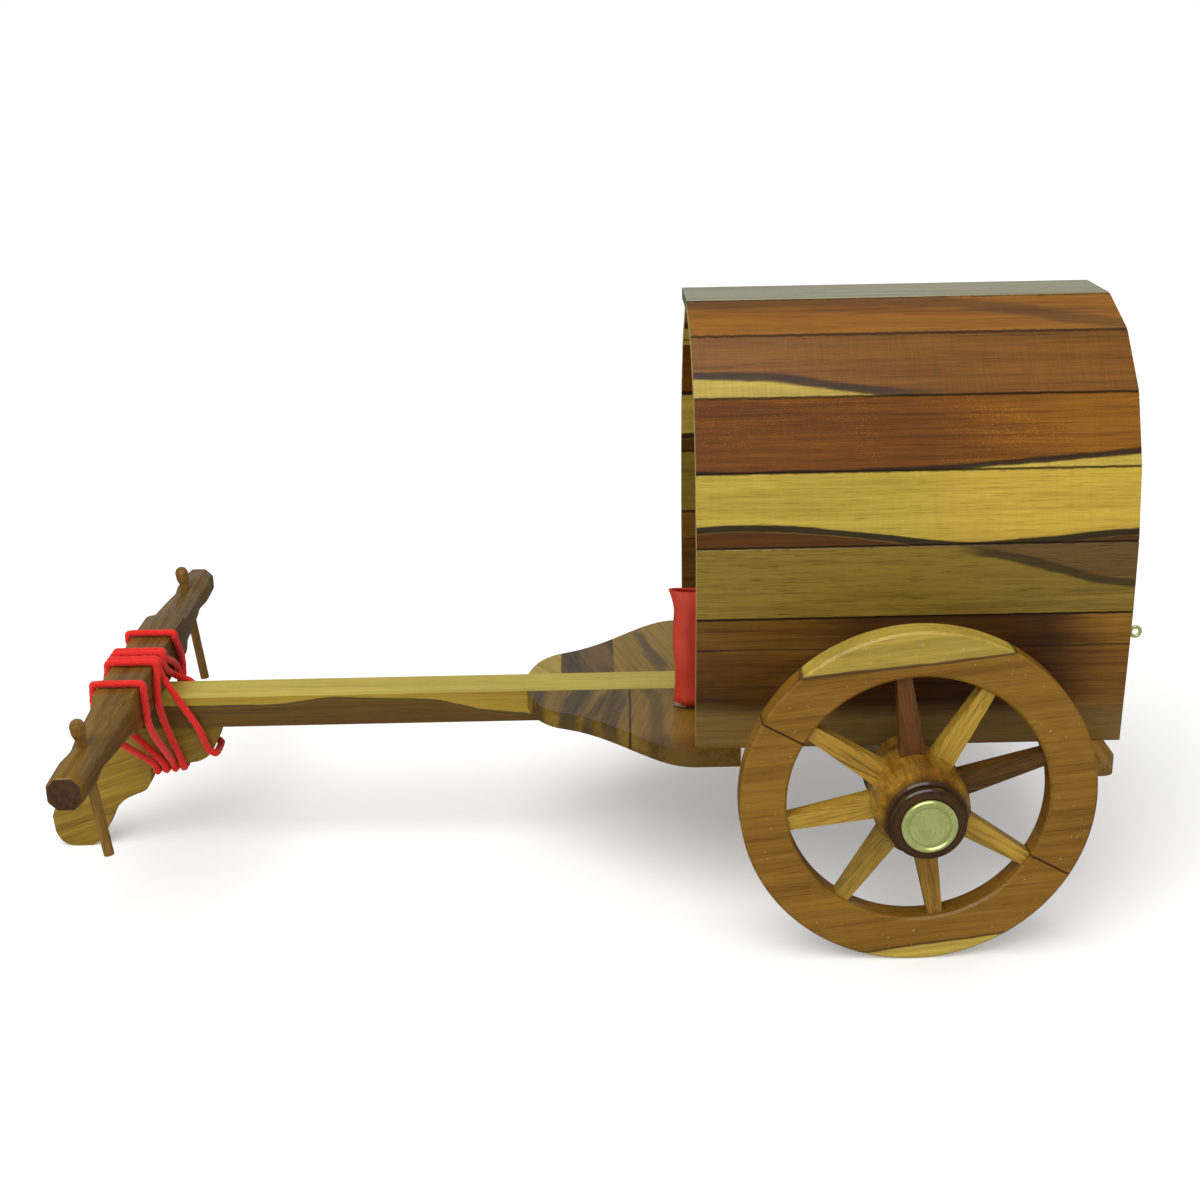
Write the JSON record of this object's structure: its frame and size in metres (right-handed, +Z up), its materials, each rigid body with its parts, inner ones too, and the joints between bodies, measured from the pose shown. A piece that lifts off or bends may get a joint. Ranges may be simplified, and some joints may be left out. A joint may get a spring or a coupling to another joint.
{
  "type": "bullock cart",
  "caption": "Small varnished wooden bullock cart with a round plank roof, spoked wheels, a pole lashed to a yoke, and a prop board under the pole.",
  "frame": {"origin": "on the floor at the middle of the cart's bounding box", "axes": "+X forward to the yoke, +Y to the cart's left, +Z up"},
  "size_m": [0.2972, 0.184, 0.1567],
  "materials": {
    "sapwood": "clear varnish, gloss",
    "deck_grey": "clear varnish, gloss",
    "deck_light": "clear varnish, gloss",
    "deck_dark": "clear varnish, gloss",
    "deck_tan": "clear varnish, gloss",
    "floor_brown": "clear varnish, gloss",
    "tail_brown": "clear varnish, gloss",
    "block_dark": "clear varnish, gloss",
    "axle_wood": "clear varnish, gloss",
    "side_brown": "clear varnish, gloss",
    "plank_grey": "clear varnish, gloss",
    "plank_olive": "clear varnish, gloss",
    "plank_yellow": "clear varnish, gloss",
    "plank_dark": "clear varnish, gloss",
    "plank_brown": "clear varnish, gloss",
    "plank_tan": "clear varnish, gloss",
    "yoke_wood": "clear varnish, gloss",
    "pin_wood": "clear varnish, gloss",
    "prop_tan": "clear varnish, gloss",
    "rim_wood": "clear varnish, gloss",
    "spoke_wood": "clear varnish, gloss",
    "hub_wood": "clear varnish, gloss",
    "cord_red": "woven cord",
    "cover_red": "red leathercloth with a white cloth back",
    "eye_brass": "dull",
    "brass": "polished"
  },
  "bodies": {
    "cart": {"pole": "sapwood", "deck_left": "deck_grey", "deck_right_tip": "deck_light", "deck_right_mid": "deck_dark", "deck_right_rear": "deck_tan", "floor_board": "floor_brown", "tail_board": "tail_brown", "axle_block": "block_dark", "axle": "axle_wood", "side_left": "side_brown", "side_right": "side_brown", "plank_top": "plank_grey", "plank_left_a": "plank_olive", "plank_left_b": "plank_yellow", "plank_left_c": "plank_dark", "plank_left_d": "plank_brown", "plank_left_e": "plank_tan", "plank_right_a": "plank_olive", "plank_right_b": "plank_yellow", "plank_right_c": "plank_dark", "plank_right_d": "plank_brown", "plank_right_e": "plank_tan", "yoke": "yoke_wood", "yoke_pin_left": "pin_wood", "yoke_pin_right": "pin_wood", "prop": "prop_tan", "lashing_wide": "cord_red", "lashing_mid": "cord_red", "lashing_hook": "cord_red", "cover": "cover_red", "eyes": "eye_brass", "brass_left": "brass", "brass_right": "brass"},
    "wheel_left": {"rim_left_upper": "rim_wood", "rim_left_lower": "rim_wood", "spokes_left": "spoke_wood", "hub_left": "hub_wood"},
    "wheel_right": {"rim_right_upper": "rim_wood", "rim_right_lower": "rim_wood", "spokes_right": "spoke_wood", "hub_right": "hub_wood"}
  },
  "joints": [
    {"name": "wheel_left_spin", "type": "hinge", "parent": "cart", "child": "wheel_left", "pos_m": [-0.088, 0.0739, 0.044], "axis": [0, 1, 0], "continuous": true},
    {"name": "wheel_right_spin", "type": "hinge", "parent": "cart", "child": "wheel_right", "pos_m": [-0.088, -0.0739, 0.044], "axis": [0, 1, 0], "continuous": true}
  ]
}
